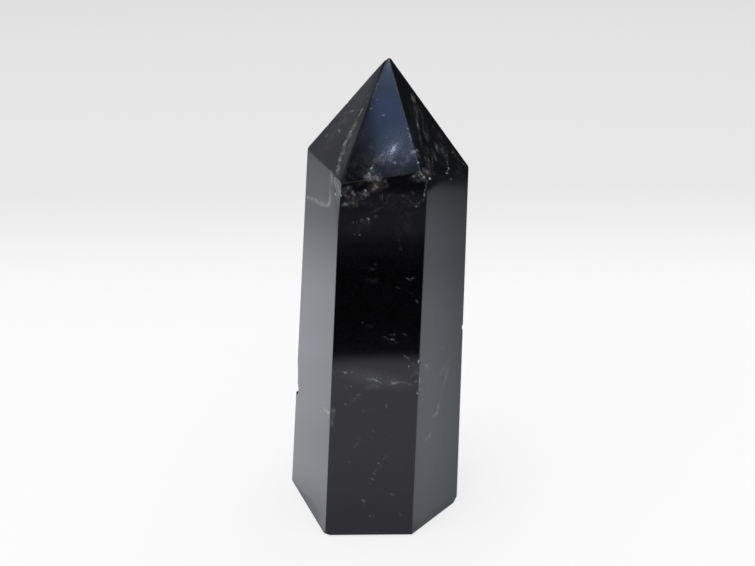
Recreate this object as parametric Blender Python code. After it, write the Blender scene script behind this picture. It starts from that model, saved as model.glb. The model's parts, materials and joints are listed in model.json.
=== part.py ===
"""Morion quartz crystal: one solid of smoky-black quartz, ground and polished to a six-sided
tower with a six-sided point, standing on its flat foot.

Run with: blender --background --python part.py

Frame: metres, +Z up, the front prism face looks towards -Y. The origin is the middle of the
crystal's bounding box, on the foot.

The shape is made the way a stone cutter makes it. A plain block is ground flat again and again,
once for every named facet, and then loses a few small chips along its arrises.
"""

import math

import bmesh
import bpy
from mathutils import Euler, Matrix, Vector

MM = 0.001

NAME = "crystal"
COLLECTION = "morion_quartz_crystal"

# The block that the facets are ground from.
BLOCK_WIDTH = 60 * MM
BLOCK_HEIGHT = 104 * MM

# The middle of the foot, where the six prism faces are measured from.
FOOT_CENTRE = Vector((-1.35, -0.10, 0.0)) * MM

# Where the facets of the point would meet if every one of them ran true. It stands to the right
# of the foot's middle, because the tower leans that way by about three degrees.
TIP = FOOT_CENTRE + Vector((5.4, 0.2, 90.7)) * MM

# Prism faces: azimuth in degrees (0 is the front, 90 the right side), how many degrees the face
# leans inwards, and its distance from the foot's middle in millimetres, at the foot.
PRISM_FACES = {
    "front": (0.0, 1.8, 17.1),
    "right": (54.5, -1.4, 16.7),
    "back_right": (111.0, -1.8, 15.0),
    "back": (180.0, 1.4, 17.3),
    "back_left": (-125.5, 4.6, 16.9),
    "left": (-69.0, 4.5, 14.2),
}

# Faces of the point: azimuth, how many degrees the face leans inwards, and how far outside the
# tip it passes in millimetres. The strip is a narrow extra facet between the left and the front.
POINT_FACES = {
    "point_front": (-6.0, 38.4, -0.15),
    "point_right": (56.7, 35.6, -0.20),
    "point_back_right": (112.8, 30.3, 0.05),
    "point_back": (178.0, 37.5, -0.20),
    "point_back_left": (-127.5, 41.0, -0.30),
    "point_left": (-67.0, 35.1, 0.40),
    "strip": (-57.5, 37.2, 0.22),
}

# Small breaks, ground flat, at two shoulders: azimuth, lean and distance from the foot's middle.
SHOULDER_BREAKS = {
    "left_break": (-63.0, 6.9, 18.0),
    "right_break": (49.0, 19.0, 40.45),
}

# The tip is worn flat this far below the point where its facets meet.
TIP_WEAR = 0.45 * MM

# Foot: the flat that runs round its edge, and the two corners that are worn more.
FOOT_CHAMFER_DEPTH = 0.32 * MM
FOOT_CORNERS = (("left", "front"), ("right", "back_right"))
FOOT_CORNER_DEPTH = 0.75 * MM

# Polishing takes this much off every other arris.
ARRIS_DEPTH = 0.05 * MM

# Chips: the two faces whose arris is chipped, the place along it (an axis and millimetres from
# the foot's middle), the depth, the radius of the hollow, and how much longer than wide it is.
CHIPS = {
    "left_scoop": ("left", "back_left", "z", 24.2, 0.38, 9.0, 1.4),
    "right_nick": ("right", "back_right", "z", 38.4, 0.30, 0.8, 1.0),
    "bruise_top": ("left", "front", "z", 26.6, 0.22, 1.1, 1.2),
    "bruise_middle": ("left", "front", "z", 24.6, 0.30, 1.7, 1.3),
    "bruise_foot": ("left", "front", "z", 22.8, 0.16, 0.9, 1.2),
    "front_right_nick": ("front", "right", "z", 36.3, 0.26, 1.0, 1.2),
    "front_right_speck": ("front", "right", "z", 30.1, 0.14, 0.6, 1.0),
    "strip_flake_1": ("strip", "point_left", "z", 72.9, 0.13, 1.6, 1.7),
    "strip_flake_2": ("strip", "point_left", "z", 75.4, 0.22, 1.6, 1.6),
    "strip_flake_3": ("strip", "point_left", "z", 77.5, 0.16, 1.9, 1.6),
    "strip_flake_4": ("strip", "point_left", "z", 81.2, 0.12, 1.1, 1.4),
    "strip_flake_5": ("strip", "point_left", "z", 84.2, 0.09, 0.9, 1.4),
    "left_break_flake_1": ("left", "left_break", "z", 71.3, 0.10, 0.8, 1.8),
    "left_break_flake_2": ("left", "left_break", "z", 68.9, 0.12, 0.9, 1.6),
    "crushed_corner_1": ("right_break", "point_right", "x", 12.1, 0.20, 0.9, 1.2),
    "crushed_corner_2": ("right_break", "point_right", "x", 13.2, 0.22, 0.8, 1.0),
    "crushed_corner_3": ("right_break", "front", "z", 71.0, 0.14, 0.8, 1.3),
    "point_nick_1": ("point_left", "point_back_left", "z", 81.8, 0.10, 0.9, 1.1),
    "point_nick_2": ("point_left", "point_back_left", "z", 77.2, 0.12, 0.9, 1.1),
    "point_nick_3": ("point_front", "point_right", "z", 75.6, 0.10, 0.7, 1.3),
    "back_nick_1": ("back", "back_right", "z", 51.5, 0.26, 1.2, 1.3),
    "back_nick_2": ("back", "back_left", "z", 14.2, 0.20, 1.0, 1.2),
    "back_nick_3": ("point_back", "point_back_right", "z", 79.5, 0.16, 1.1, 1.3),
}

# The deepest chip: a round bite at the lower end of the left scoop, which stops at a sharp step.
BITE = ("left", "back_left", "z", 21.9, 1.0, 1.7, 1.0)
BITE_STEP_BELOW = 0.75 * MM
BITE_STEP_TILT = math.radians(12)

# Every hollow is turned by this much more than the one before, so that no two look alike.
CHIP_TURN = math.radians(47)

STONE_COLOUR = (0.011, 0.010, 0.012, 1.0)
STONE_ROUGHNESS = 0.07
QUARTZ_IOR = 1.544

# A facet cut merges nothing wider than this.
CUT_TOLERANCE = 0.0005 * MM


def remove_old_objects():
    """Empty the scene."""
    for old in list(bpy.data.objects):
        bpy.data.objects.remove(old, do_unlink=True)


def new_collection(name):
    """A collection of that name, linked to the scene."""
    collection = bpy.data.collections.new(name)
    bpy.context.scene.collection.children.link(collection)
    return collection


def facing(azimuth_deg, lean_deg):
    """The unit vector that a facet of this azimuth and inward lean faces."""
    azimuth = math.radians(azimuth_deg)
    lean = math.radians(lean_deg)
    level = Vector((math.sin(azimuth), -math.cos(azimuth), 0.0))
    return level * math.cos(lean) + Vector((0.0, 0.0, math.sin(lean)))


def named_facets():
    """Every named facet as (outward normal, distance from the origin along it)."""
    facets = {}
    for name, (azimuth, lean, distance) in PRISM_FACES.items():
        normal = facing(azimuth, lean)
        foot_point = FOOT_CENTRE + facing(azimuth, 0.0) * distance * MM
        facets[name] = (normal, normal.dot(foot_point))
    for name, (azimuth, lean, outside_tip) in POINT_FACES.items():
        normal = facing(azimuth, lean)
        facets[name] = (normal, normal.dot(TIP) + outside_tip * MM)
    for name, (azimuth, lean, distance) in SHOULDER_BREAKS.items():
        normal = facing(azimuth, lean)
        facets[name] = (normal, normal.dot(FOOT_CENTRE) + distance * MM)
    facets["foot"] = (Vector((0.0, 0.0, -1.0)), 0.0)
    return facets


def meeting_point(*planes):
    """The point where three planes, each (normal, distance), meet."""
    normals = Matrix([normal for normal, _ in planes])
    distances = Vector([distance for _, distance in planes])
    return normals.inverted() @ distances


def softening_planes(facets):
    """Small flats that take the sharpness off: along arrises, round the foot and at the tip."""
    ring = list(PRISM_FACES)
    point_ring = list(POINT_FACES)
    pairs = [(a, b, ARRIS_DEPTH) for a, b in zip(ring, ring[1:] + ring[:1])]
    pairs += [(a, b, ARRIS_DEPTH) for a, b in zip(point_ring, point_ring[1:] + point_ring[:1])]
    pairs += [(name, "point_" + name, ARRIS_DEPTH) for name in ring]
    pairs += [(name, "foot", FOOT_CHAMFER_DEPTH) for name in ring]
    planes = []
    for first, second, depth in pairs:
        normal_a, distance_a = facets[first]
        normal_b, distance_b = facets[second]
        along = normal_a.cross(normal_b).normalized()
        on_arris = meeting_point(facets[first], facets[second], (along, along.dot(TIP) / 2))
        normal = (normal_a + normal_b).normalized()
        planes.append((normal, normal.dot(on_arris) - depth))
    for first, second in FOOT_CORNERS:
        trio = (facets[first], facets[second], facets["foot"])
        normal = sum((plane[0] for plane in trio), Vector()).normalized()
        planes.append((normal, normal.dot(meeting_point(*trio)) - FOOT_CORNER_DEPTH))
    planes.append((Vector((0.0, 0.0, 1.0)), TIP.z - TIP_WEAR))
    return planes


def grind(solid, normal, distance):
    """Cut away all of the solid that lies beyond the plane, and close it with a flat face."""
    everything = solid.verts[:] + solid.edges[:] + solid.faces[:]
    cut = bmesh.ops.bisect_plane(
        solid,
        geom=everything,
        dist=CUT_TOLERANCE,
        plane_co=normal * distance,
        plane_no=normal,
        clear_outer=True,
    )
    rim = [item for item in cut["geom_cut"] if isinstance(item, bmesh.types.BMEdge)]
    open_rim = [edge for edge in rim if edge.is_boundary]
    if open_rim:
        bmesh.ops.holes_fill(solid, edges=open_rim, sides=0)


def ground_block(facets):
    """The block after every facet and every softening flat has been ground on it."""
    solid = bmesh.new()
    size = Matrix.Diagonal((BLOCK_WIDTH, BLOCK_WIDTH, BLOCK_HEIGHT, 1.0))
    lift = Matrix.Translation((0.0, 0.0, BLOCK_HEIGHT / 2 - 2 * MM))
    bmesh.ops.create_cube(solid, size=1.0, matrix=lift @ size)
    for normal, distance in list(facets.values()) + softening_planes(facets):
        grind(solid, normal, distance)
    bmesh.ops.dissolve_degenerate(solid, edges=solid.edges[:], dist=CUT_TOLERANCE)
    bmesh.ops.recalc_face_normals(solid, faces=solid.faces[:])
    return solid


def mesh_object(name, solid, collection):
    """Turn the bmesh into a named object in the collection."""
    mesh = bpy.data.meshes.new(name)
    solid.to_mesh(mesh)
    solid.free()
    piece = bpy.data.objects.new(name, mesh)
    collection.objects.link(piece)
    return piece


def chip_frame(facets, first, second, axis, place):
    """The point on the arris at that place, the way out of the stone there, and the arris line."""
    direction = {"x": Vector((1.0, 0.0, 0.0)), "z": Vector((0.0, 0.0, 1.0))}[axis]
    station = (direction, direction.dot(FOOT_CENTRE) + place * MM)
    point = meeting_point(facets[first], facets[second], station)
    outward = (facets[first][0] + facets[second][0]).normalized()
    along = facets[first][0].cross(facets[second][0]).normalized()
    if along.z < 0:
        along = -along
    return point, outward, along


def hollow(facets, chip, turn):
    """A ball that hollows out one chip, longer along the arris than across it."""
    first, second, axis, place, depth, radius, stretch = chip
    point, outward, along = chip_frame(facets, first, second, axis, place)
    side = outward.cross(along).normalized()
    frame = Matrix((side, outward, along)).transposed().to_4x4()
    frame.translation = point + outward * (radius - depth) * MM
    shape = Matrix.Diagonal((radius * MM, radius * MM, radius * stretch * MM, 1.0))
    ball = bmesh.new()
    bmesh.ops.create_icosphere(
        ball,
        subdivisions=4 if radius > 4 else 3,
        radius=1.0,
        matrix=frame @ shape @ Euler((turn, turn / 2, turn / 3)).to_matrix().to_4x4(),
    )
    return ball, point, along, side


def add_cutters(facets, collection):
    """All the balls that take the chips out of the arrises."""
    cutters = []
    for number, (name, chip) in enumerate(CHIPS.items()):
        ball, _, _, _ = hollow(facets, chip, number * CHIP_TURN)
        cutters.append(mesh_object("cut_" + name, ball, collection))
    bite, point, along, side = hollow(facets, BITE, CHIP_TURN)
    step = Matrix.Rotation(BITE_STEP_TILT, 3, side) @ -along
    grind(bite, step, step.dot(point) + BITE_STEP_BELOW)
    bmesh.ops.recalc_face_normals(bite, faces=bite.faces[:])
    cutters.append(mesh_object("cut_left_bite", bite, collection))
    for cutter in cutters:
        cutter.hide_render = True
        cutter.display_type = "WIRE"
    return cutters


def chip_away(piece, cutters):
    """One exact Boolean difference for each chip."""
    for cutter in cutters:
        cut = piece.modifiers.new(cutter.name, "BOOLEAN")
        cut.operation = "DIFFERENCE"
        cut.solver = "EXACT"
        cut.object = cutter


def polished_quartz():
    """Smoky-black quartz: almost no colour of its own, all the look is in the polish."""
    material = bpy.data.materials.new("polished_morion_quartz")
    material.use_nodes = True
    shader = material.node_tree.nodes["Principled BSDF"]
    shader.inputs["Base Color"].default_value = STONE_COLOUR
    shader.inputs["Roughness"].default_value = STONE_ROUGHNESS
    shader.inputs["IOR"].default_value = QUARTZ_IOR
    material.diffuse_color = STONE_COLOUR
    return material


def build():
    """Make the crystal."""
    remove_old_objects()
    parts = new_collection(COLLECTION)
    cutter_collection = new_collection("cutters")
    facets = named_facets()
    crystal = mesh_object(NAME, ground_block(facets), parts)
    crystal.data.materials.append(polished_quartz())
    chip_away(crystal, add_cutters(facets, cutter_collection))


build()
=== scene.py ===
"""Polished morion quartz tower: the look of the stone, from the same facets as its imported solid.

The stone is one piece: a six-sided prism and point, ground flat and polished, with softly rounded
arrises, small conchoidal chips, and white veils and hairline cracks in near-black quartz.
Lengths are millimetres in the shape code and become metres when a mesh is made.
"""

import itertools
import json

import bpy
import numpy as np
from mathutils import Matrix, Vector

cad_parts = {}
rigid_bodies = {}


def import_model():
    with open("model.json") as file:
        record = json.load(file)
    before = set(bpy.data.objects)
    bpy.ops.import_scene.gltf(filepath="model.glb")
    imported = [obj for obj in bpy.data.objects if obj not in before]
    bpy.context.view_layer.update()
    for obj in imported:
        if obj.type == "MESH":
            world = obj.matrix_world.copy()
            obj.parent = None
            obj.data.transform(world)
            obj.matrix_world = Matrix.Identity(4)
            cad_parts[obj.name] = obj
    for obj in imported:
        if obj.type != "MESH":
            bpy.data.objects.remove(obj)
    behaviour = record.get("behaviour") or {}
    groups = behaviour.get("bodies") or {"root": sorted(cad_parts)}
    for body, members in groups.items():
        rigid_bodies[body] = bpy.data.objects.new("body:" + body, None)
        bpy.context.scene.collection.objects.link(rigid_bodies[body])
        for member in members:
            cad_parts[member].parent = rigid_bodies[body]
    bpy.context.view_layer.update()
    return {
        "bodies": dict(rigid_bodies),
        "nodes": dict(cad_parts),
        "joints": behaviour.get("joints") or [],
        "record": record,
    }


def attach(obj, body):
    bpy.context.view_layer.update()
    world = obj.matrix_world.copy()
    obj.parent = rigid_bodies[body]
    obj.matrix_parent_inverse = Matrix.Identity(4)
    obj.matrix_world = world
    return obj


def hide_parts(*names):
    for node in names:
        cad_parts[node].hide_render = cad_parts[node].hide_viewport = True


MM = 0.001

# ---------------------------------------------------------------- the stone's facets, as ground

FOOT_CENTRE = np.array((-1.35, -0.10, 0.0))
TIP = FOOT_CENTRE + (5.4, 0.2, 90.7)

# Azimuth in degrees (0 is the front), inward lean, distance from the foot's middle.
PRISM_FACES = {
    "front": (0.0, 1.8, 17.1),
    "right": (54.5, -1.4, 16.7),
    "back_right": (111.0, -1.8, 15.0),
    "back": (180.0, 1.4, 17.3),
    "back_left": (-125.5, 4.6, 16.9),
    "left": (-69.0, 4.5, 14.2),
}

# Azimuth, lean, how far outside the tip the facet passes.
POINT_FACES = {
    "point_front": (-6.0, 38.4, -0.15),
    "point_right": (56.7, 35.6, -0.20),
    "point_back_right": (112.8, 30.3, 0.05),
    "point_back": (178.0, 37.5, -0.20),
    "point_back_left": (-127.5, 41.0, -0.30),
    "point_left": (-67.0, 35.1, 0.40),
    "strip": (-57.5, 37.2, 0.22),
}

# Azimuth, lean, distance from the foot's middle.
SHOULDER_BREAKS = {
    "left_break": (-63.0, 6.9, 18.0),
    "right_break": (49.0, 19.0, 40.45),
}

# How far the worn tip lies below the sharp one.
TIP_WEAR = 0.45

# How deep the small flats cut in where a prism face, or two of them, meet the foot.
FOOT_CHAMFER = {
    "left": 0.20,
    "front": 0.32,
    "right": 0.22,
    "back_right": 0.32,
    "back": 0.32,
    "back_left": 0.32,
}
FOOT_CORNERS = (("left", "front", 0.75), ("right", "back_right", 0.62))

# How tightly the polish follows the sharp form, per millimetre: 24 rounds an arris to about a
# fifth of a millimetre.
ARRIS_SHARPNESS = 24.0

# Chips: the two facets, the axis and the place along it from the foot's middle, depth, radius and
# how much longer than wide.
CHIPS = (
    ("left", "back_left", "z", 24.2, 0.38, 9.0, 1.4),
    ("right", "back_right", "z", 38.4, 0.30, 0.8, 1.0),
    ("left", "front", "z", 26.6, 0.10, 0.9, 1.2),
    ("left", "front", "z", 24.6, 0.13, 1.3, 1.3),
    ("left", "front", "z", 22.8, 0.08, 0.7, 1.2),
    ("front", "right", "z", 36.3, 0.15, 0.8, 1.2),
    ("front", "right", "z", 30.1, 0.14, 0.6, 1.0),
    ("strip", "point_left", "z", 72.9, 0.13, 1.6, 1.7),
    ("strip", "point_left", "z", 75.4, 0.22, 1.6, 1.6),
    ("strip", "point_left", "z", 77.5, 0.16, 1.9, 1.6),
    ("strip", "point_left", "z", 81.2, 0.12, 1.1, 1.4),
    ("strip", "point_left", "z", 84.2, 0.09, 0.9, 1.4),
    ("left", "left_break", "z", 71.3, 0.10, 0.8, 1.8),
    ("left", "left_break", "z", 68.9, 0.12, 0.9, 1.6),
    ("right_break", "point_right", "x", 12.1, 0.20, 0.9, 1.2),
    ("right_break", "point_right", "x", 13.2, 0.22, 0.8, 1.0),
    ("right_break", "front", "z", 71.0, 0.14, 0.8, 1.3),
    ("point_left", "point_back_left", "z", 81.8, 0.10, 0.9, 1.1),
    ("point_left", "point_back_left", "z", 77.2, 0.12, 0.9, 1.1),
    ("point_front", "point_right", "z", 75.6, 0.10, 0.7, 1.3),
    ("back", "back_right", "z", 51.5, 0.26, 1.2, 1.3),
    ("back", "back_left", "z", 14.2, 0.20, 1.0, 1.2),
    ("point_back", "point_back_right", "z", 79.5, 0.16, 1.1, 1.3),
)

# The deepest chip, how far below its middle it ends in a sharp step, and how far that step leans.
BITE = ("left", "back_left", "z", 21.9, 1.45, 1.7, 1.0)
BITE_STEP_BELOW = 0.75
BITE_STEP_TILT = np.radians(12)

# A chip's rim strays from round by this share, in bays this many radii long, up to a limit.
RIM_STRAY = 0.10
RIM_BAY = 1.6
LONGEST_RIM_BAY = 2.4

# The floor of a chip has ripples of this share of its depth, this far apart.
RIPPLE_SHARE = 0.06
RIPPLE_LENGTH = 0.55


def facing(azimuth, lean):
    """The unit vector of a facet: level by its azimuth, tipped up by its lean."""
    a, e = np.radians((azimuth, lean))
    return np.array((np.sin(a) * np.cos(e), -np.cos(a) * np.cos(e), np.sin(e)))


def ground_planes():
    """Every facet as name: (outward unit vector, distance from the origin along it)."""
    planes = {}
    for name, (azimuth, lean, distance) in PRISM_FACES.items():
        normal = facing(azimuth, lean)
        planes[name] = (normal, normal @ (FOOT_CENTRE + facing(azimuth, 0) * distance))
    for name, (azimuth, lean, outside) in POINT_FACES.items():
        normal = facing(azimuth, lean)
        planes[name] = (normal, normal @ TIP + outside)
    for name, (azimuth, lean, distance) in SHOULDER_BREAKS.items():
        normal = facing(azimuth, lean)
        planes[name] = (normal, normal @ FOOT_CENTRE + distance)
    planes["foot"] = (np.array((0.0, 0.0, -1.0)), 0.0)
    for name, depth in FOOT_CHAMFER.items():
        planes["foot_" + name] = flat_between(planes, (name, "foot"), depth)
    for first, second, depth in FOOT_CORNERS:
        planes["corner_" + first] = flat_between(planes, (first, second, "foot"), depth)
    planes["tip"] = (np.array((0.0, 0.0, 1.0)), TIP[2] - TIP_WEAR)
    return planes


def flat_between(planes, names, depth):
    """A small flat square to the mean direction of some facets, that deep inside their meeting."""
    trio = [planes[name] for name in names]
    normal = unit(sum(plane[0] for plane in trio))
    if len(trio) == 2:
        along = unit(np.cross(trio[0][0], trio[1][0]))
        trio.append((along, along @ TIP / 2))
    return normal, normal @ meeting_point(trio) - depth


def unit(vector):
    """The vector made one long."""
    return vector / np.linalg.norm(vector)


def meeting_point(trio):
    """Where three planes meet."""
    return np.linalg.solve([normal for normal, _ in trio], [distance for _, distance in trio])


def corners_of(normals, distances):
    """Every point where three planes meet inside all the others, with the trio's numbers."""
    trios = np.array(list(itertools.combinations(range(len(normals)), 3)))
    trios = trios[np.abs(np.linalg.det(normals[trios])) > 1e-6]
    points = np.linalg.solve(normals[trios], distances[trios][..., None])[..., 0]
    inside = (points @ normals.T <= distances + 1e-7).all(1)
    return trios[inside], points[inside]


# ---------------------------------------------------------------- chips


def chip_place(planes, chip):
    """The point on the arris, and the chip's frame there: to the side, out of the stone, along."""
    first, second, axis, place = chip[:4]
    direction = np.eye(3)["xyz".index(axis)]
    station = (direction, direction @ FOOT_CENTRE + place)
    point = meeting_point([planes[first], planes[second], station])
    outward = unit(planes[first][0] + planes[second][0])
    along = unit(np.cross(planes[first][0], planes[second][0]))
    along = along if along[2] > 0 else -along
    return point, unit(np.cross(outward, along)), outward, along


def crumple(points, size, seed):
    """Smooth unevenness from -1 to 1: half a sine along one slanted line, plus half the product
    of the sines along two others."""
    turns = np.array(((0.9, 0.3, -0.4), (-0.5, 1.1, 0.6), (0.2, -0.7, 1.0))) + 0.13 * seed
    waves = np.sin(points @ turns.T * (2 * np.pi / size) + seed * np.array((1.0, 2.3, 4.1)))
    return waves[:, 0] * 0.5 + waves[:, 1] * waves[:, 2] * 0.5


def chip_away(points, planes):
    """Points pushed onto the floors of the chips, and how far each one moved.

    In a chip's frame, scaled so that its hollow is a ball of radius one, a point (a, b, c) with
    a*a + c*c < 1 moves down to b = -sqrt(1 - a*a - c*c) where it stands above that.
    """
    points = points.copy()
    moved = np.zeros(len(points))
    for number, chip in enumerate(CHIPS + (BITE,)):
        depth, radius, stretch = chip[4:]
        place, side, outward, along = chip_place(planes, chip)
        frame = np.array((side, outward, along))
        size = np.array((radius, radius, radius * stretch))
        centre = place + outward * (radius - depth)
        # No chip reaches farther than three of its radii.
        near = np.linalg.norm(points - place, axis=1) < 3 * radius
        local = (points[near] - centre) @ frame.T / size
        bay = min(RIM_BAY * radius, LONGEST_RIM_BAY)
        ragged = 1 + RIM_STRAY * crumple(points[near], bay, number)
        if chip is BITE:
            ragged = np.ones(near.sum())
        spread = (local[:, 0] ** 2 + local[:, 2] ** 2) * ragged
        floor = -np.sqrt(np.clip(1 - spread, 0, None))
        inside = (spread < 1) & (local[:, 1] > floor)
        if chip is BITE:
            step = -along * np.cos(BITE_STEP_TILT) + outward * np.sin(BITE_STEP_TILT)
            inside &= points[near] @ step < step @ place + BITE_STEP_BELOW
        ripple = 1 + RIPPLE_SHARE * crumple(points[near], RIPPLE_LENGTH, number + 5)
        drop = np.where(inside, (local[:, 1] - floor) * radius * ripple, 0)
        points[near] -= drop[:, None] * outward
        moved[near] += drop
    return points, moved


# ---------------------------------------------------------------- the stone's surface

# Spacing of the points: at a corner, at a small and at a broad chip, and the widest anywhere. A
# chip is broad from this radius on.
CORNER_SPACING = 0.03
CHIP_SPACING = 0.11
BROAD_CHIP_SPACING = 0.25
BROAD_CHIP = 3
COARSEST = 1.6

# How much the spacing grows with each millimetre from a corner or from a chip's rim.
GROWTH_FROM_CORNER = 0.35
GROWTH_FROM_CHIP = 0.45
ARRIS_SAMPLES = 600

# The rings next to a facet's outline, by their way in. They lie closer where a short side would
# close before the last of them: that one goes no farther than this share of the way to it.
EVEN_RINGS = (0.015, 0.035, 0.06, 0.09, 0.13, 0.18, 0.24, 0.31, 0.38)
SHARE_BEFORE_CLOSING = 0.6

# After them come rings one steady step apart and then ever wider ones, up to this share of the
# way to the facet's middle.
RING_STEP = 0.13
STEADY_STEPS = 13
WIDER_STEPS = 13
RING_GROWTH = 1.35
LAST_RING = 0.96


def stations(start, end, chips):
    """Places along one arris, from 0 to 1, packed where a chip or a corner is.

    The wished spacing grows with the distance from the nearest chip's rim and from the nearer
    end; the places are where the running total of 1 / spacing passes equal steps.
    """
    t = np.linspace(0, 1, ARRIS_SAMPLES)
    line = start + t[:, None] * (end - start)
    length = np.linalg.norm(end - start)
    spacing = CORNER_SPACING + GROWTH_FROM_CORNER * np.minimum(t, 1 - t) * length
    for place, reach, fine in chips:
        beyond = np.clip(np.linalg.norm(line - place, axis=1) - reach, 0, None)
        spacing = np.minimum(spacing, fine + GROWTH_FROM_CHIP * beyond)
    spacing = np.clip(spacing, CORNER_SPACING, COARSEST)
    step = length / (ARRIS_SAMPLES - 1)
    total = np.concatenate(([0], np.cumsum(step * 2 / (spacing[1:] + spacing[:-1]))))
    count = max(3, int(np.ceil(total[-1])))
    return np.interp(np.linspace(0, total[-1], count + 1)[1:-1], total, t)


def ring_depths(corners, inward):
    """How far in each even-width ring lies, and the shares of the way to the middle after them."""
    sides = np.roll(corners, -1, 0) - corners
    lengths = np.linalg.norm(sides, axis=1)
    cosines = np.clip(-np.sum(inward * np.roll(inward, 1, 0), 1), -1, 1)
    half_turn = np.arccos(cosines) / 2
    closing = 1 / np.tan(half_turn) + 1 / np.tan(np.roll(half_turn, -1))
    widest = EVEN_RINGS[-1]
    safe = min(widest, SHARE_BEFORE_CLOSING * (lengths / closing).min())
    even = np.array(EVEN_RINGS) * safe / widest
    middle = corners.mean(0)
    reach = np.sum((middle - corners) * inward, 1).min()
    steady = np.full(STEADY_STEPS, RING_STEP)
    wider = RING_STEP * RING_GROWTH ** np.arange(1, WIDER_STEPS + 1)
    steps = safe + np.cumsum(np.concatenate((steady, wider)))
    steps = steps[steps < LAST_RING * reach]
    return even, (steps - safe) / (reach - safe), middle


def ground_stone(planes):
    """The whole surface as points, quads, triangles and the number of each point's facet.

    Each facet is a function of two parameters: the way round its outline, and the way in from it.
    The first rings are the outline with every side moved in by one width, so that they can follow
    the rounded arris; later ones shrink in straight lines towards the facet's middle, where
    triangles close it. Neighbouring facets share the points of the arris between them.
    """
    normals = np.array([normal for normal, _ in planes.values()])
    distances = np.array([distance for _, distance in planes.values()])
    trios, corners = corners_of(normals, distances)
    chips = []
    for chip in CHIPS + (BITE,):
        depth, radius, stretch = chip[4:]
        rim = np.sqrt(2 * radius * depth) * stretch
        fine = CHIP_SPACING if radius < BROAD_CHIP else BROAD_CHIP_SPACING
        chips.append((chip_place(planes, chip)[0], rim + 0.2, fine))

    points = [corners]
    facet_of = [np.full(len(corners), -1)]
    made = len(corners)
    arrises = {}
    quads = []
    triangles = []
    for number, normal in enumerate(normals):
        own = np.flatnonzero((trios == number).any(1))
        middle = corners[own].mean(0)
        across = unit(corners[own[0]] - middle)
        spokes = corners[own] - middle
        angles = np.arctan2(spokes @ np.cross(normal, across), spokes @ across)
        own = own[np.argsort(angles)]
        outline = []
        shares = []
        for side, (a, b) in enumerate(zip(own, np.roll(own, -1))):
            key = (min(a, b), max(a, b))
            if key not in arrises:
                t = stations(corners[key[0]], corners[key[1]], chips)
                points.append(corners[key[0]] + t[:, None] * (corners[key[1]] - corners[key[0]]))
                facet_of.append(np.full(len(t), -1))
                arrises[key] = (t, made + np.arange(len(t)))
                made += len(t)
            t, rows = arrises[key]
            if a > b:
                t, rows = 1 - t[::-1], rows[::-1]
            outline.append(np.concatenate(([a], rows)))
            shares.append(side + np.concatenate(([0], t)))
        outline = np.concatenate(outline)
        shares = np.concatenate(shares)
        side = shares.astype(int)
        part = (shares - side)[:, None]
        sides = np.roll(corners[own], -1, 0) - corners[own]
        inward = np.cross(normal, sides / np.linalg.norm(sides, axis=1)[:, None])
        even, inner, middle = ring_depths(corners[own], inward)
        before = np.roll(inward, 1, 0)
        mitre = (inward + before) / (1 + np.sum(inward * before, 1))[:, None]
        ring_corners = corners[own] + even[:, None, None] * mitre
        following = np.roll(ring_corners, -1, 1)
        rings = ring_corners[:, side] * (1 - part) + following[:, side] * part
        shrunk = rings[-1] + inner[:, None, None] * (middle - rings[-1])
        rings = np.concatenate((rings, shrunk))
        count = len(outline)
        rows = made + np.arange(rings.shape[0] * count).reshape(rings.shape[0], count)
        points.append(rings.reshape(-1, 3))
        points.append(middle[None])
        facet_of.append(np.full(rows.size + 1, number))
        made += rows.size + 1
        rows = np.concatenate((outline[None], rows))
        ahead = np.roll(rows, -1, 1)
        quads.append(np.stack((rows[:-1], ahead[:-1], ahead[1:], rows[1:]), -1).reshape(-1, 4))
        hub = np.full(count, made - 1)
        triangles.append(np.stack((rows[-1], ahead[-1], hub), -1))
    points = soften(np.concatenate(points), normals, distances)
    return points, np.concatenate(quads), np.concatenate(triangles), np.concatenate(facet_of)


def soften(points, normals, distances):
    """Points drawn in onto the polished form by four Newton steps.

    The form is where log(sum(exp(k * (normal . p - distance)))) / k is nought: flat on a facet,
    and rounded near an arris by about 1 / k.
    """
    for _ in range(4):
        beyond = (points @ normals.T - distances) * ARRIS_SHARPNESS
        top = beyond.max(1)
        weights = np.exp(beyond - top[:, None])
        total = weights.sum(1)
        height = (top + np.log(total)) / ARRIS_SHARPNESS
        slope = weights @ normals / total[:, None]
        points = points - slope * (height / np.sum(slope**2, 1))[:, None]
    return points


def mesh_piece(name, points, faces, smooth=True):
    """A mesh object from points in millimetres and lists of faces."""
    mesh = bpy.data.meshes.new(name)
    all_faces = [face for group in faces for face in group.tolist()]
    mesh.from_pydata((points * MM).tolist(), [], all_faces)
    mesh.polygons.foreach_set("use_smooth", np.full(len(mesh.polygons), smooth))
    mesh.update()
    piece = bpy.data.objects.new(name, mesh)
    bpy.context.scene.collection.objects.link(piece)
    return piece


# ---------------------------------------------------------------- materials


def linear(hex_colour):
    """An sRGB hex colour as linear red, green, blue and alpha."""
    shares = np.array([int(hex_colour[i : i + 2], 16) for i in (0, 2, 4)]) / 255
    value = np.where(shares <= 0.04045, shares / 12.92, ((shares + 0.055) / 1.055) ** 2.4)
    return (*value, 1.0)


def add(tree, kind, inputs=None, **settings):
    """Add one node: its settings by name, and values or links for its sockets."""
    node = tree.nodes.new("ShaderNode" + kind)
    for name, value in settings.items():
        setattr(node, name, value)
    for socket, value in (inputs or {}).items():
        if isinstance(value, bpy.types.NodeSocket):
            tree.links.new(value, node.inputs[socket])
        else:
            node.inputs[socket].default_value = value
    return node


def new_material(name):
    """A material with an empty node tree and its output."""
    material = bpy.data.materials.new(name)
    material.use_nodes = True
    material.node_tree.nodes.clear()
    return material, material.node_tree, add(material.node_tree, "OutputMaterial")


# ---------------------------------------------------------------- veils, cracks and specks

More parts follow.
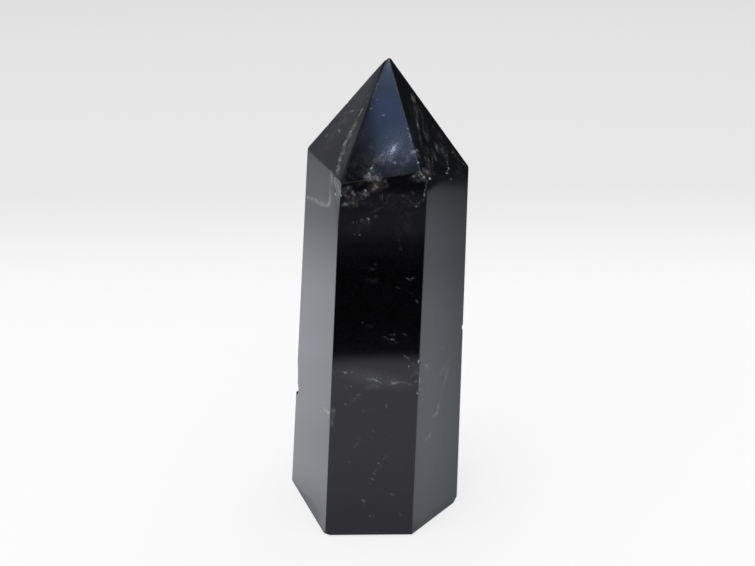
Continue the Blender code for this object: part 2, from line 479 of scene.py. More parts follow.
# Marks near the surface, facet by facet. A mark runs between two places, each given as
# millimetres across the facet from the foot's middle and millimetres up from the foot. Then come
# its half width in millimetres and how much light it throws back.
CRACKS = {
    "point_front": (
        (2.6, 82.2, 2.8, 82.2, 0.22, 0.22), (4.9, 81.1, 5.1, 81.1, 0.22, 0.27),
        (3.6, 83.6, 3.7, 83.6, 0.18, 0.1), (7.6, 73.8, 7.7, 73.7, 0.22, 0.22),
        (8.8, 73.7, 9.0, 73.7, 0.22, 0.06), (11.7, 73.9, 11.9, 73.8, 0.22, 0.42),
        (10.6, 75.4, 11.2, 75.6, 0.4, 0.22), (11.0, 75.8, 11.2, 75.7, 0.22, 0.17),
        (9.5, 79.2, 9.7, 79.0, 0.18, 0.17), (10.0, 78.3, 10.4, 77.1, 0.18, 0.22),
        (5.9, 77.6, 6.0, 77.6, 0.18, 0.051), (5.3, 90.1, 5.4, 89.7, 0.22, 0.085),
        (3.3, 72.7, 3.8, 73.2, 0.2, 0.32), (3.0, 72.1, 3.2, 72.0, 0.26, 0.3),
        (3.7, 72.4, 3.8, 72.3, 0.18, 0.13), (4.6, 71.6, 4.8, 70.9, 0.2, 0.14),
        (4.9, 71.1, 5.4, 70.8, 0.22, 0.068), (2.3, 71.7, 2.7, 71.6, 0.26, 0.076),
    ),
    "front": (
        (1.0, 69.3, 1.1, 69.1, 0.24, 0.22), (0.8, 68.6, 1.1, 68.4, 0.26, 0.19),
        (-0.4, 68.9, -0.1, 68.8, 0.2, 0.043), (-1.0, 68.6, -0.8, 68.4, 0.24, 0.19),
        (-1.3, 67.8, -0.9, 68.2, 0.2, 0.068), (-3.1, 66.6, -2.1, 66.9, 0.4, 0.14),
        (3.6, 68.5, 3.8, 67.8, 0.22, 0.025), (4.0, 68.7, 4.1, 67.6, 0.16, 0.051),
        (4.7, 67.6, 5.3, 68.5, 0.2, 0.051), (4.3, 66.6, 5.1, 67.5, 0.18, 0.025),
        (6.9, 68.2, 8.7, 68.1, 0.18, 0.03), (9.3, 68.9, 9.6, 68.4, 0.24, 0.051),
        (8.8, 67.5, 9.0, 67.1, 0.22, 0.051), (9.9, 66.4, 10.0, 66.1, 0.24, 0.093),
        (9.3, 66.9, 9.9, 66.4, 0.16, 0.03), (10.1, 66.5, 11.1, 67.5, 0.14, 0.051),
        (11.8, 70.3, 11.6, 68.7, 0.2, 0.1), (11.5, 68.6, 11.5, 68.0, 0.22, 0.22),
        (11.5, 67.8, 11.1, 66.9, 0.14, 0.06), (2.5, 65.4, 5.1, 66.6, 0.2, 0.015),
        (-1.3, 63.7, -1.2, 63.1, 0.14, 0.06), (-0.7, 63.6, -0.7, 63.3, 0.14, 0.051),
        (0.1, 63.9, 0.4, 63.8, 0.2, 0.068), (1.3, 64.0, 1.5, 63.9, 0.2, 0.29),
        (1.4, 63.4, 1.5, 63.3, 0.14, 0.076), (2.4, 64.1, 2.9, 64.6, 0.18, 0.051),
        (-0.3, 61.3, -0.3, 61.1, 0.16, 0.1), (-1.4, 61.2, -1.0, 61.0, 0.18, 0.034),
        (6.7, 60.3, 7.0, 58.8, 0.18, 0.017), (7.0, 58.6, 7.1, 58.0, 0.22, 0.025),
        (8.2, 52.7, 8.5, 52.6, 0.22, 0.1), (9.0, 52.7, 9.4, 52.8, 0.22, 0.068),
        (8.6, 52.3, 9.1, 52.3, 0.18, 0.017), (2.3, 55.5, 2.7, 55.5, 0.18, 0.034),
        (6.2, 51.1, 6.8, 50.9, 0.24, 0.017), (9.8, 48.5, 10.1, 48.0, 0.2, 0.06),
        (-0.2, 44.5, -0.1, 44.3, 0.22, 0.025), (3.6, 41.5, 4.6, 41.2, 0.2, 0.043),
        (4.2, 41.0, 5.1, 40.8, 0.16, 0.025), (5.1, 41.0, 5.5, 40.8, 0.22, 0.11),
        (5.5, 40.6, 6.5, 40.2, 0.16, 0.025), (4.4, 40.3, 6.0, 40.2, 0.14, 0.009),
        (4.9, 41.9, 6.0, 41.8, 0.18, 0.03), (7.2, 42.1, 7.8, 41.7, 0.18, 0.034),
        (-3.8, 34.5, -3.5, 34.4, 0.18, 0.26), (-4.9, 34.6, -2.8, 34.6, 0.18, 0.06),
        (-2.6, 34.5, -2.4, 34.5, 0.18, 0.085), (1.9, 33.0, 2.2, 32.8, 0.18, 0.19),
        (2.2, 33.4, 2.2, 33.1, 0.12, 0.12), (2.3, 32.7, 3.2, 32.2, 0.18, 0.076),
        (4.6, 32.6, 5.3, 32.6, 0.16, 0.068), (5.0, 32.2, 5.7, 32.3, 0.18, 0.12),
        (5.8, 32.5, 6.4, 32.3, 0.14, 0.076), (7.4, 32.3, 9.4, 31.7, 0.16, 0.034),
        (-3.8, 31.8, -3.5, 31.4, 0.24, 0.043), (-2.7, 31.7, -2.6, 31.5, 0.2, 0.076),
        (-1.6, 30.0, -1.0, 29.9, 0.3, 0.06), (-3.9, 28.2, -3.8, 27.9, 0.22, 0.1),
        (-1.2, 29.4, -1.0, 29.0, 0.18, 0.043), (3.9, 28.1, 3.9, 26.9, 0.2, 0.051),
        (7.3, 37.8, 7.9, 37.3, 0.18, 0.085), (8.0, 37.4, 8.5, 36.7, 0.14, 0.093),
        (8.2, 36.8, 9.9, 35.6, 0.14, 0.068), (8.7, 35.9, 10.0, 35.1, 0.14, 0.043),
        (8.2, 35.6, 8.2, 35.5, 0.15, 0.29), (8.3, 32.9, 9.1, 34.1, 0.18, 0.043),
        (9.0, 34.0, 9.9, 35.2, 0.16, 0.076), (9.2, 33.5, 9.7, 34.5, 0.12, 0.043),
        (9.4, 32.1, 9.6, 33.1, 0.14, 0.17), (9.6, 34.5, 9.8, 34.1, 0.22, 0.085),
        (9.7, 30.1, 9.9, 30.0, 0.2, 0.59), (10.1, 36.8, 10.2, 35.9, 0.24, 0.36),
        (-0.7, 27.0, -0.4, 26.6, 0.2, 0.025), (1.3, 22.6, 1.5, 22.1, 0.2, 0.043),
        (1.0, 21.2, 1.1, 20.9, 0.18, 0.034), (-1.9, 19.9, -1.8, 19.6, 0.22, 0.1),
        (-2.4, 19.3, -2.2, 19.0, 0.16, 0.043), (4.2, 21.0, 4.9, 21.4, 0.2, 0.015),
        (3.6, 17.3, 3.8, 17.0, 0.2, 0.068), (3.1, 16.6, 3.4, 16.9, 0.18, 0.06),
        (2.1, 15.7, 2.3, 15.5, 0.22, 0.11), (2.5, 15.2, 2.7, 14.9, 0.16, 0.043),
        (1.8, 14.5, 1.5, 14.0, 0.16, 0.043), (1.2, 13.7, 1.3, 13.4, 0.2, 0.1),
        (0.8, 12.5, 1.0, 12.3, 0.2, 0.12), (0.5, 11.6, 0.3, 11.0, 0.18, 0.03),
        (3.4, 13.1, 3.6, 12.7, 0.18, 0.025), (-3.5, 16.1, -3.2, 15.8, 0.18, 0.051),
        (-1.1, 7.9, -0.9, 7.6, 0.24, 0.14), (-0.6, 8.6, -0.4, 7.0, 0.16, 0.014),
        (-0.8, 6.9, -0.5, 6.3, 0.16, 0.025), (4.3, 9.1, 4.6, 8.9, 0.22, 0.14),
        (4.8, 8.9, 5.3, 8.8, 0.16, 0.043), (6.2, 4.9, 6.4, 4.7, 0.2, 0.076),
        (6.7, 4.6, 6.2, 4.0, 0.16, 0.025), (0.2, 4.4, 0.4, 4.2, 0.2, 0.085),
        (0.9, 4.6, 1.1, 4.4, 0.16, 0.043), (6.4, 15.0, 6.7, 14.8, 0.18, 0.025),
        (10.5, 72.7, 10.9, 72.0, 0.28, 0.14), (9.6, 71.7, 9.8, 71.6, 0.2, 0.24),
        (-6.7, 27.0, -6.6, 26.4, 0.16, 0.12),
    ),
    "right": (
        (-7.4, 36.9, -7.1, 35.9, 0.26, 0.36), (-6.1, 29.3, -5.8, 29.1, 0.14, 0.14),
        (-5.7, 29.6, -5.5, 29.5, 0.14, 0.12), (-6.0, 28.5, -5.8, 28.3, 0.14, 0.2),
        (-6.8, 30.7, -6.5, 30.3, 0.2, 0.1), (-5.4, 35.3, -3.9, 34.2, 0.16, 0.19),
        (-4.7, 34.5, -3.7, 33.6, 0.14, 0.06), (-4.4, 35.2, -3.4, 34.5, 0.14, 0.06),
        (-5.7, 34.8, -4.3, 34.1, 0.18, 0.043), (-3.5, 34.2, -2.4, 35.0, 0.14, 0.025),
        (-6.8, 33.3, -6.9, 31.7, 0.16, 0.22), (-5.9, 29.1, -5.2, 28.6, 0.22, 0.068),
        (-6.2, 28.1, -5.6, 28.1, 0.18, 0.051), (-0.1, 37.5, 1.4, 35.8, 0.2, 0.019),
        (-1.1, 37.0, 2.0, 36.6, 0.18, 0.03), (2.4, 69.6, 2.7, 69.4, 0.22, 0.1),
    ),
    "point_right": (
        (3.6, 83.6, 2.9, 82.7, 0.22, 0.12), (0.2, 79.2, -0.1, 78.7, 0.2, 0.085),
        (1.1, 77.7, 0.3, 76.4, 0.2, 0.068), (-4.1, 75.8, -3.8, 75.4, 0.24, 0.14),
        (-4.3, 75.3, -4.4, 74.3, 0.2, 0.017), (1.9, 75.1, 1.9, 74.6, 0.18, 0.043),
        (-0.1, 73.8, -0.2, 73.0, 0.16, 0.051), (-0.9, 74.1, -2.7, 72.1, 0.2, 0.051),
        (4.6, 74.1, 2.6, 72.6, 0.16, 0.043), (2.5, 72.6, 2.0, 71.5, 0.16, 0.14),
        (1.9, 71.6, 1.8, 71.3, 0.22, 0.26), (1.8, 71.2, 0.7, 70.9, 0.16, 0.12),
        (0.3, 71.0, 0.7, 70.8, 0.22, 0.26), (4.9, 73.4, 6.3, 73.4, 0.18, 0.076),
        (6.6, 71.6, 6.9, 70.5, 0.2, 0.085),
    ),
    "right_break": (
        (-2.2, 71.0, -2.0, 70.9, 0.2, 1.0), (-3.6, 71.5, -3.4, 71.3, 0.2, 0.36),
        (-4.1, 72.2, -3.7, 71.8, 0.2, 0.26), (-4.6, 71.2, -4.5, 71.0, 0.16, 0.26),
        (-3.1, 70.7, -3.1, 70.2, 0.16, 0.19),
    ),
    "left": (
        (7.9, 26.3, 8.5, 26.5, 0.2, 0.06), (8.3, 25.4, 10.5, 25.6, 0.22, 0.26),
        (10.3, 25.8, 12.4, 26.0, 0.24, 0.42), (9.6, 26.1, 11.4, 26.5, 0.14, 0.1),
        (6.2, 24.1, 8.1, 24.4, 0.18, 0.1),
    ),
    "left_break": (
        (9.3, 68.3, 9.8, 67.9, 0.22, 0.47), (11.1, 69.2, 11.8, 68.3, 0.22, 0.34),
        (9.9, 70.0, 11.7, 68.2, 0.22, 0.17), (9.4, 71.3, 10.5, 70.1, 0.2, 0.085),
    ),
    "point_left": (
        (0.3, 77.5, 1.6, 77.3, 0.22, 0.19), (-3.2, 75.7, -2.9, 76.0, 0.18, 0.22),
        (-5.8, 76.6, -5.4, 76.6, 0.16, 0.051), (0.3, 80.7, 2.0, 81.2, 0.16, 0.19),
        (4.6, 81.8, 5.1, 82.0, 0.18, 0.085), (2.7, 81.2, 3.7, 81.6, 0.16, 0.043),
        (4.2, 83.3, 5.5, 83.0, 0.2, 0.085),
    ),
    "strip": (
        (4.9, 77.7, 5.3, 77.6, 0.16, 0.26), (5.3, 75.9, 5.7, 75.8, 0.18, 0.29),
        (5.7, 75.0, 6.1, 74.9, 0.16, 0.21), (7.7, 72.5, 8.1, 72.4, 0.16, 0.19),
    ),
    "back_right": (
        (-4.0, 20.5, -1.0, 23.4, 0.15, 0.2), (-1.0, 23.4, 3.2, 27.2, 0.15, 0.25),
        (2.6, 26.6, 5.0, 25.4, 0.12, 0.18), (1.2, 58.4, 1.6, 59.0, 0.2, 0.45),
        (-5.0, 8.0, -4.6, 8.4, 0.2, 0.16), (4.0, 42.0, 4.3, 42.5, 0.18, 0.2),
    ),
    "back": (
        (-5.6, 60.4, -5.0, 61.2, 0.22, 0.55), (1.0, 63.4, 1.8, 63.8, 0.2, 0.5),
        (-8.5, 34.0, -3.0, 31.5, 0.15, 0.16), (-3.0, 31.5, 3.5, 33.0, 0.17, 0.28),
        (8.0, 31.0, 9.6, 28.0, 0.13, 0.18), (-4.0, 14.0, -3.5, 14.6, 0.2, 0.15),
        (5.0, 10.0, 5.6, 10.2, 0.18, 0.12), (1.0, 20.0, 2.4, 17.4, 0.14, 0.1),
    ),
    "back_left": (
        (-3.8, 40.0, 1.5, 45.0, 0.15, 0.24), (1.5, 45.0, 4.8, 44.0, 0.13, 0.18),
        (-1.0, 64.5, -0.4, 65.0, 0.22, 0.45), (2.0, 27.0, 2.4, 27.4, 0.2, 0.18),
    ),
    "point_back_right": (
        (2.2, 73.0, 2.6, 73.6, 0.2, 0.4),
    ),
    "point_back": (
        (-3.4, 73.6, -3.0, 74.0, 0.2, 0.4), (1.2, 79.2, 1.4, 79.6, 0.18, 0.3),
    ),
    "point_back_left": (
        (0.0, 76.6, 0.4, 77.0, 0.2, 0.35), (-1.5, 83.0, -1.2, 83.4, 0.16, 0.25),
    ),
}

CRUSHED = {
    "point_front": (
        (5.8, 88.9, 7.8, 83.9, 0.14, 0.041), (7.8, 83.9, 10.9, 74.8, 0.12, 0.029),
        (2.7, 72.4, 4.5, 71.7, 0.99, 0.058), (-1.2, 71.6, 3.6, 74.1, 1.58, 0.01),
        (4.2, 73.9, 5.7, 75.0, 0.83, 0.043),
    ),
    "front": (
        (-0.9, 70.2, 1.2, 70.8, 0.4, 0.017), (-3.1, 69.3, -1.6, 69.8, 0.43, 0.12),
        (-1.7, 69.5, -1.0, 68.5, 0.32, 0.093), (4.5, 67.3, 10.4, 66.5, 1.78, 0.009),
        (1.4, 64.8, 3.3, 65.9, 0.4, 0.017), (7.5, 64.5, 9.7, 65.2, 0.59, 0.012),
        (6.4, 62.5, 6.9, 60.3, 0.51, 0.012), (8.0, 63.2, 9.3, 61.7, 0.99, 0.007),
        (0.0, 63.7, 2.1, 63.3, 0.59, 0.017), (-1.9, 62.3, 1.7, 62.6, 0.99, 0.007),
        (1.4, 54.5, 2.5, 54.7, 0.26, 0.017), (0.4, 52.3, 2.8, 52.5, 0.47, 0.009),
        (7.9, 50.8, 10.2, 48.3, 0.24, 0.008), (0.6, 43.5, 1.7, 43.7, 0.4, 0.007),
        (-5.9, 33.7, -0.8, 33.4, 0.32, 0.008), (7.9, 31.9, 9.1, 31.8, 0.2, 0.023),
        (-4.3, 31.0, -2.8, 30.6, 0.4, 0.007), (-2.6, 28.9, -1.9, 29.2, 0.38, 0.026),
        (5.9, 30.2, 6.6, 30.5, 0.24, 0.017), (-0.4, 26.5, 0.1, 26.9, 0.4, 0.007),
        (7.8, 32.7, 8.5, 33.5, 0.26, 0.012), (9.2, 71.4, 10.8, 71.1, 0.49, 0.07),
        (-6.4, 26.9, -6.2, 26.0, 0.26, 0.052), (-6.5, 25.3, -6.5, 23.3, 0.26, 0.07),
        (-6.5, 23.9, -6.1, 22.4, 0.24, 0.029),
    ),
    "right": (
        (-6.3, 31.5, -5.9, 29.7, 0.24, 0.029), (-2.0, 30.0, 3.5, 33.5, 0.5, 0.05),
    ),
    "point_right": (
        (-4.4, 76.3, -4.5, 74.0, 0.71, 0.041), (-2.3, 75.9, -0.8, 74.3, 0.79, 0.029),
        (-2.7, 74.6, -3.3, 72.4, 0.63, 0.052), (-3.6, 73.8, -3.9, 72.7, 0.43, 0.029),
        (-0.4, 73.1, 1.8, 72.0, 0.63, 0.009), (3.1, 74.9, 2.8, 72.9, 0.79, 0.046),
        (4.5, 71.7, 5.5, 70.4, 0.51, 0.012),
    ),
    "right_break": (
        (-5.2, 72.3, -3.1, 71.4, 0.67, 0.13), (-3.2, 72.2, -2.1, 71.5, 0.32, 0.081),
    ),
    "point_left": (
        (-1.6, 81.3, -0.9, 81.7, 0.24, 0.023), (4.4, 77.1, 3.9, 79.1, 0.43, 0.017),
        (2.5, 84.7, 4.7, 83.9, 0.26, 0.041),
    ),
    "strip": (
        (4.2, 82.1, 4.7, 80.3, 0.26, 0.17), (4.7, 80.3, 5.0, 78.0, 0.4, 0.22),
        (4.9, 78.2, 5.1, 77.0, 0.47, 0.49), (5.1, 77.0, 5.5, 75.3, 0.49, 0.46),
        (5.5, 75.6, 6.3, 74.4, 0.47, 0.29), (5.8, 74.8, 6.9, 73.2, 0.49, 0.28),
        (6.9, 73.2, 8.2, 71.6, 0.51, 0.17), (5.1, 79.7, 8.5, 72.6, 0.79, 0.029),
    ),
    "back_right": (
        (-4.5, 20.0, 3.0, 27.0, 0.7, 0.1), (-3.0, 55.0, 4.0, 60.0, 1.3, 0.11),
    ),
    "back": (
        (-6.0, 61.0, 5.0, 64.0, 1.8, 0.13), (2.0, 32.5, 8.0, 31.0, 0.6, 0.12),
        (-7.0, 47.0, -2.0, 43.0, 0.6, 0.06),
    ),
    "back_left": (
        (-3.5, 12.0, 2.5, 9.0, 0.6, 0.08), (-2.0, 42.0, 2.0, 46.5, 0.9, 0.1),
        (-4.0, 62.0, 3.0, 66.0, 1.2, 0.11),
    ),
    "point_back_right": (
        (-3.0, 71.0, 1.5, 77.0, 1.0, 0.16),
    ),
    "point_back": (
        (-5.0, 71.0, 4.5, 72.5, 1.2, 0.2),
    ),
    "point_back_left": (
        (-2.5, 74.0, 1.5, 79.0, 0.7, 0.12),
    ),
}

HAZE = {
    "point_front": (
        (5.9, 74.4, 8.1, 77.0, 1.19, 0.12), (6.5, 75.0, 7.8, 76.7, 0.63, 0.24),
        (6.9, 75.2, 7.5, 76.4, 0.4, 0.55), (6.7, 74.0, 6.9, 75.2, 0.51, 0.16),
        (5.8, 74.4, 6.4, 75.1, 0.43, 0.09), (5.1, 74.8, 5.4, 75.1, 0.26, 0.16),
        (5.2, 73.8, 6.4, 75.2, 0.67, 0.1), (4.7, 73.5, 8.7, 78.1, 2.57, 0.03),
        (6.3, 71.8, 10.9, 72.4, 0.22, 0.02), (0.6, 75.6, 4.3, 74.1, 1.58, 0.006),
        (0.9, 76.8, 2.8, 80.0, 1.38, 0.014), (3.2, 76.4, 3.5, 75.8, 0.59, 0.03),
    ),
    "front": (
        (0.4, 67.4, 2.2, 66.5, 0.59, 0.012), (-1.6, 21.1, -1.2, 20.5, 0.43, 0.012),
    ),
    "strip": (
        (3.5, 88.3, 6.2, 82.2, 0.24, 0.14), (6.5, 82.3, 10.3, 71.5, 0.16, 0.03),
    ),
    "back_right": (
        (0.0, 40.0, 3.0, 46.0, 3.0, 0.01),
    ),
    "back": (
        (-2.0, 50.0, 4.0, 42.0, 4.0, 0.01),
    ),
    "point_back": (
        (-2.0, 76.0, 2.5, 81.0, 1.6, 0.07),
    ),
}

STREAKS = {
    "point_right": (
        (3.7, 83.9, 2.9, 82.5, 0.36, 0.36), (2.8, 82.5, 1.0, 79.9, 0.43, 0.058),
        (1.8, 83.0, -0.8, 79.2, 0.79, 0.013), (0.7, 80.0, -0.5, 78.1, 0.34, 0.1),
        (3.2, 80.8, 2.5, 79.1, 0.47, 0.026), (2.2, 79.5, 0.1, 76.6, 0.34, 0.13),
        (-0.2, 78.2, -2.0, 76.2, 0.32, 0.16), (3.1, 79.7, 0.4, 76.4, 0.59, 0.039),
        (2.0, 75.6, 1.6, 74.3, 0.43, 0.078), (0.4, 74.9, -0.3, 73.3, 0.4, 0.072),
    ),
    "point_back_right": (
        (-1.0, 78.0, 0.6, 85.0, 0.5, 0.12),
    ),
}

MAUVE_VEILS = {
    "point_front": (
        (2.5, 71.6, 4.4, 71.3, 0.71, 0.096), (4.4, 72.0, 5.3, 71.3, 0.4, 0.078),
        (9.3, 72.8, 10.1, 75.7, 0.99, 0.051), (6.3, 72.3, 10.9, 72.9, 0.71, 0.018),
    ),
    "front": (
        (1.9, 69.2, 3.4, 69.6, 0.55, 0.072), (0.4, 68.2, 1.5, 69.0, 0.59, 0.09),
        (-1.7, 67.5, -0.3, 67.8, 0.47, 0.03), (-3.2, 68.6, -2.6, 68.3, 0.3, 0.06),
    ),
    "right": (
        (3.3, 70.5, 7.4, 68.8, 0.59, 0.021),
    ),
    "point_right": (
        (3.2, 82.1, 3.1, 80.6, 0.36, 0.036), (4.1, 78.2, 4.3, 78.0, 0.2, 0.06),
        (4.0, 77.5, 4.9, 74.7, 0.89, 0.03),
    ),
    "right_break": (
        (-2.8, 72.6, -1.7, 71.7, 0.53, 0.23),
    ),
    "point_left": (
        (-1.2, 73.6, 0.2, 81.7, 2.77, 0.027),
    ),
    "back_right": (
        (0.0, 57.0, 3.0, 61.0, 0.9, 0.1),
    ),
    "back": (
        (3.0, 60.0, 7.0, 62.5, 1.1, 0.12),
    ),
    "point_back": (
        (1.0, 72.0, 4.0, 74.0, 1.0, 0.14),
    ),
}

OCHRE_VEILS = {
    "point_front": (
        (-0.2, 71.9, 4.2, 75.3, 1.78, 0.006),
    ),
    "front": (
        (2.1, 69.9, 4.1, 70.6, 0.67, 0.12), (2.7, 70.3, 3.3, 70.4, 0.28, 0.16),
        (3.7, 69.8, 4.9, 70.2, 0.47, 0.031), (-2.4, 68.9, -2.1, 67.8, 0.51, 0.037),
        (-2.1, 66.5, -0.5, 66.9, 0.51, 0.05), (-1.2, 66.3, -0.6, 66.4, 0.2, 0.081),
        (-5.7, 35.3, -5.7, 33.3, 0.16, 0.031), (-6.3, 27.8, -5.9, 26.2, 0.36, 0.034),
        (-6.5, 26.0, -6.1, 25.3, 0.24, 0.025),
    ),
    "point_right": (
        (-2.1, 74.0, -3.7, 72.4, 0.22, 0.05), (5.8, 73.7, 6.1, 71.5, 0.71, 0.025),
    ),
    "back": (
        (-3.0, 62.0, 2.0, 63.0, 1.2, 0.13),
    ),
}

STAINS = {
    "point_front": (
        (5.3, 90.1, 5.5, 88.1, 0.38, 0.085),
    ),
    "left": (
        (-7.2, 63.1, -4.6, 63.6, 0.36, 0.2), (-4.9, 63.5, -2.0, 64.0, 0.4, 0.19),
        (-2.9, 63.8, 0.6, 64.2, 0.43, 0.24), (-0.7, 64.0, 1.3, 64.0, 0.42, 0.22),
        (1.0, 64.0, 4.3, 64.6, 0.47, 0.24), (3.1, 64.4, 6.7, 65.0, 0.43, 0.18),
        (5.8, 64.8, 7.4, 65.7, 0.45, 0.3), (7.2, 65.4, 7.7, 66.9, 0.42, 0.4),
        (7.8, 66.4, 7.1, 68.3, 0.4, 0.22), (-5.9, 69.1, 6.4, 67.4, 1.98, 0.012),
        (-3.4, 65.0, 6.1, 65.6, 0.99, 0.03), (6.7, 70.5, 7.6, 68.1, 0.59, 0.05),
    ),
}

MILKY_BANDS = {
    "front": (
        (-4.0, 34.3, 7.9, 31.9, 1.38, 0.04), (-2.5, 34.4, -1.2, 34.2, 0.3, 0.012),
        (-0.6, 33.6, 3.1, 32.4, 0.43, 0.09), (0.5, 33.3, 2.7, 32.6, 0.26, 0.19),
        (3.1, 32.2, 4.4, 32.4, 0.22, 0.02), (3.8, 32.4, 6.8, 32.4, 0.43, 0.075),
        (4.8, 32.3, 6.5, 32.4, 0.28, 0.15), (6.5, 32.3, 8.0, 32.4, 0.22, 0.065),
        (-0.1, 31.4, 3.3, 32.0, 0.67, 0.045),
    ),
    "right": (
        (2.6, 31.7, 1.4, 28.6, 0.53, 0.072), (1.2, 28.4, -0.2, 24.9, 0.32, 0.02),
        (-0.2, 25.5, -0.8, 23.6, 0.38, 0.085), (-0.8, 23.9, -1.5, 23.1, 0.36, 0.12),
        (-2.2, 23.3, -0.7, 23.2, 0.38, 0.13), (-3.0, 19.8, -3.8, 19.3, 0.34, 0.1),
        (-4.0, 19.4, -4.9, 18.9, 0.32, 0.07),
    ),
    "left": (
        (7.2, 71.5, 8.4, 69.2, 0.26, 0.26), (7.7, 71.4, 8.2, 70.3, 0.59, 0.13),
    ),
    "left_break": (
        (8.3, 71.1, 9.4, 68.4, 0.4, 0.13),
    ),
}

# Where a mark has faded to nothing, in half widths: fine cracks end sharply, veils softly.
CRACK_SPREAD = 1.3
VEIL_SPREAD = 1.6

# Which way the streaks of the point's right facet run, and how much longer than wide they are.
STREAK_LINE = (0.184, -0.665, -0.724)
STREAK_STRETCH = 7.0


def place_on(name, across, up):
    """The point on a facet at that distance across it and that height."""
    azimuth = {**PRISM_FACES, **POINT_FACES, **SHOULDER_BREAKS}[name][0]
    normal, distance = planes[name]
    out = facing(azimuth, 0)
    start = FOOT_CENTRE + facing(azimuth + 90, 0) * across + np.array((0.0, 0.0, up))
    return start + out * (distance - normal @ start) / (normal @ out)


def marks_field(tree, where, table, spread):
    """The brightest of many marks, each a long soft ellipsoid round its line.

    A mark is brightest in its middle. It fades evenly to nothing at so many half widths to the
    side, and as far past its ends.
    """
    field = None
    for facet, marks in table.items():
        for across_a, up_a, across_b, up_b, half_width, brightness in marks:
            start = place_on(facet, across_a, up_a)
            line = place_on(facet, across_b, up_b) - start
            reach = half_width * spread
            local = add(
                tree,
                "Mapping",
                {
                    "Vector": where,
                    "Location": (start + line / 2) * MM,
                    "Rotation": Vector(line).to_track_quat("X", "Z").to_euler(),
                    "Scale": np.array((np.linalg.norm(line) / 2 + reach, reach, reach)) * MM,
                },
                vector_type="TEXTURE",
            )
            near = add(tree, "TexGradient", {"Vector": local.outputs[0]}, gradient_type="SPHERICAL")
            mark = times(tree, near.outputs["Fac"], brightness)
            if field is not None:
                mark = add(tree, "Math", {0: field, 1: mark}, operation="MAXIMUM").outputs[0]
            field = mark
    return field


def noise(tree, where, size, detail):
    """Cloudy noise whose largest lumps are that many millimetres across."""
    inputs = {"Vector": where, "Scale": 1 / (size * MM), "Detail": detail}
    return add(tree, "TexNoise", inputs)


def between(tree, value, low, high, to_low, to_high):
    """A value between two limits turned smoothly into a value between two others."""
    inputs = {
        "Value": value,
        "From Min": low,
        "From Max": high,
        "To Min": to_low,
        "To Max": to_high,
    }
    return add(tree, "MapRange", inputs, interpolation_type="SMOOTHSTEP").outputs["Result"]


def times(tree, first, second):
    """One value times another."""
    return add(tree, "Math", {0: first, 1: second}, operation="MULTIPLY").outputs[0]


# The stone's own black, how matt it is where it is polished, and how much more where it is frosted
# or chipped.
MORION_BLACK = "020203"
POLISH_ROUGHNESS = 0.035
FROST_ROUGHNESS = 0.13
CHIP_ROUGHNESS = 0.2
QUARTZ_IOR = 1.544

# Sizes of its patterns in millimetres.
CRACK_BEND = 1.1
CRACK_WANDER = 0.65
GRAIN = 0.22
SOFT_GRAIN = 0.30
CRUMB = 1.0
STREAK_WIDTH = 0.55
CLOUD = 5.0
DUST = 0.45


